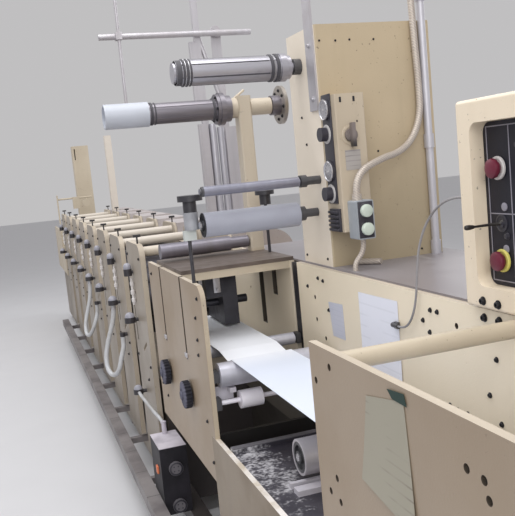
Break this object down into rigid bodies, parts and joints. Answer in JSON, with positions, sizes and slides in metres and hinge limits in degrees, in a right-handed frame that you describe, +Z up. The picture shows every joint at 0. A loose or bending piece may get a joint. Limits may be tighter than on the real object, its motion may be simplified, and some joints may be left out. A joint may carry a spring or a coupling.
{
  "type": "narrow-web flexographic printing press",
  "caption": "Long in-line narrow-web flexographic printing press with print stations, die section, rewind mandrels, control cabinet and operator console.",
  "frame": {"origin": "on the floor, under the middle of the machine's box", "axes": "+X from the operator side to the gear side, +Y along the press from delivery to unwind, +Z up"},
  "size_m": [1.06, 9, 2.6],
  "materials": {
    "cream_paint": "cream machine enamel, worn at the edges",
    "grey_paint": "grey hammered enamel",
    "dark_paint": "black enamel",
    "wireway_paint": "dusty grey-cream enamel",
    "dark_pan": "dark worn enamel",
    "steel": "ground steel",
    "worn_steel": "dull, stained steel",
    "dark_steel": "dark oiled casting",
    "aluminium": "worn bright aluminium",
    "lilac_laminate": "pale lilac-grey laminate",
    "white_plastic": "white roller covering",
    "white_cover": "pinkish-white moulded cover",
    "black_plastic": "black moulded plastic",
    "red_plastic": "red moulded plastic",
    "white_hose": "white plastic hose",
    "black_rubber": "black cable sheath",
    "paper": "white label paper"
  },
  "bodies": {
    "frame": {"air_ducts": "aluminium", "base_far": "cream_paint", "base_near": "cream_paint", "bridge_plate": "worn_steel", "cabinet_conduits": "grey_paint", "cabinet_hubs": "dark_steel", "console": "cream_paint", "console_lead": "black_rubber", "console_panel": "black_plastic", "control_cabinet": "cream_paint", "cross_beam": "cream_paint", "deck_top": "lilac_laminate", "delivery_plate_gear": "cream_paint", "delivery_plate_operator": "cream_paint", "device_box": "cream_paint", "die_plate_gear": "cream_paint", "die_plate_operator": "cream_paint", "drip_pan": "dark_pan", "flat_bar": "aluminium", "gauges": "black_plastic", "gear_housing": "cream_paint", "guide_stand": "black_plastic", "hose_1": "white_hose", "hose_2": "white_hose", "hose_3": "white_hose", "levelling_feet": "steel", "mandrel_post": "cream_paint", "overhead_frame": "aluminium", "paper_web": "paper", "pilot_box": "grey_paint", "pressure_blocks": "dark_steel", "print_cylinders": "steel", "roller_bearings": "dark_steel", "round_ties": "cream_paint", "socket_box": "dark_paint", "station_covers": "white_cover", "station_housing": "cream_paint", "station_knobs": "black_plastic", "station_plates": "cream_paint", "tee_handles": "black_plastic", "unwind_frame": "cream_paint", "web_brackets": "white_plastic", "wireway": "wireway_paint"},
    "upper_mandrel": {"upper_mandrel": "aluminium"},
    "lower_mandrel": {"lower_mandrel": "aluminium", "brake_disc": "steel"},
    "white_roller": {"white_roller": "white_plastic"},
    "grey_idler": {"grey_idler": "steel"},
    "plain_roller": {"plain_roller": "worn_steel"},
    "web_roller": {"web_roller": "steel"},
    "delivery_roller": {"delivery_roller": "steel"},
    "nip_wheel": {"nip_wheel": "white_plastic"},
    "die_roller": {"die_roller": "steel"},
    "delivery_drum": {"delivery_drum": "aluminium"},
    "die_knob_1": {"die_knob_1": "black_plastic"},
    "die_knob_2": {"die_knob_2": "black_plastic"},
    "disconnect_handle": {"disconnect_handle": "grey_paint"},
    "stop_button_upper": {"stop_button_upper": "red_plastic"},
    "stop_button_lower": {"stop_button_lower": "red_plastic"},
    "jog_lever": {"jog_lever": "black_plastic"}
  },
  "joints": [
    {"name": "upper_mandrel_turn", "type": "hinge", "parent": "frame", "child": "upper_mandrel", "pos_m": [-0.19, -2.375, 1.91], "axis": [1, 0, 0], "continuous": true},
    {"name": "lower_mandrel_turn", "type": "hinge", "parent": "frame", "child": "lower_mandrel", "pos_m": [-0.26, -1.8, 1.833], "axis": [1, 0, 0], "continuous": true},
    {"name": "white_roller_turn", "type": "hinge", "parent": "frame", "child": "white_roller", "pos_m": [-0.16, -2.425, 1.422], "axis": [1, 0, 0], "continuous": true},
    {"name": "grey_idler_turn", "type": "hinge", "parent": "frame", "child": "grey_idler", "pos_m": [-0.16, -2.465, 1.53], "axis": [1, 0, 0], "continuous": true},
    {"name": "plain_roller_turn", "type": "hinge", "parent": "frame", "child": "plain_roller", "pos_m": [-0.2, -1.8, 1.29], "axis": [1, 0, 0], "continuous": true},
    {"name": "web_roller_turn", "type": "hinge", "parent": "frame", "child": "web_roller", "pos_m": [-0.167, -2.47, 0.9367], "axis": [1, 0, 0], "continuous": true},
    {"name": "delivery_roller_turn", "type": "hinge", "parent": "frame", "child": "delivery_roller", "pos_m": [-0.167, -4.25, 0.9467], "axis": [1, 0, 0], "continuous": true},
    {"name": "nip_wheel_turn", "type": "hinge", "parent": "frame", "child": "nip_wheel", "pos_m": [-0.167, -2.47, 0.845], "axis": [1, 0, 0], "continuous": true},
    {"name": "die_roller_turn", "type": "hinge", "parent": "frame", "child": "die_roller", "pos_m": [-0.167, -2.195, 0.94905], "axis": [1, 0, 0], "continuous": true},
    {"name": "delivery_drum_turn", "type": "hinge", "parent": "frame", "child": "delivery_drum", "pos_m": [-0.1, -2.925, 0.8], "axis": [1, 0, 0], "continuous": true},
    {"name": "die_knob_1_turn", "type": "hinge", "parent": "frame", "child": "die_knob_1", "pos_m": [-0.41, -1.84, 0.812], "axis": [1, 0, 0], "continuous": true},
    {"name": "die_knob_2_turn", "type": "hinge", "parent": "frame", "child": "die_knob_2", "pos_m": [-0.41, -2.195, 0.812], "axis": [1, 0, 0], "continuous": true},
    {"name": "disconnect_turn", "type": "hinge", "parent": "frame", "child": "disconnect_handle", "pos_m": [0.105, -2.63, 1.662], "axis": [0, 1, 0], "range_deg": [0, 90]},
    {"name": "stop_upper_press", "type": "slide", "parent": "frame", "child": "stop_button_upper", "axis": [1, 0, 0], "range_m": [0, 0.006], "stiffness_N_per_m": 600},
    {"name": "stop_lower_press", "type": "slide", "parent": "frame", "child": "stop_button_lower", "axis": [1, 0, 0], "range_m": [0, 0.006], "stiffness_N_per_m": 600},
    {"name": "jog_tilt", "type": "hinge", "parent": "frame", "child": "jog_lever", "pos_m": [0.074, -3.435, 1.427], "axis": [0, 1, 0], "range_deg": [-12, 12], "stiffness_Nm_per_rad": 0.5}
  ]
}
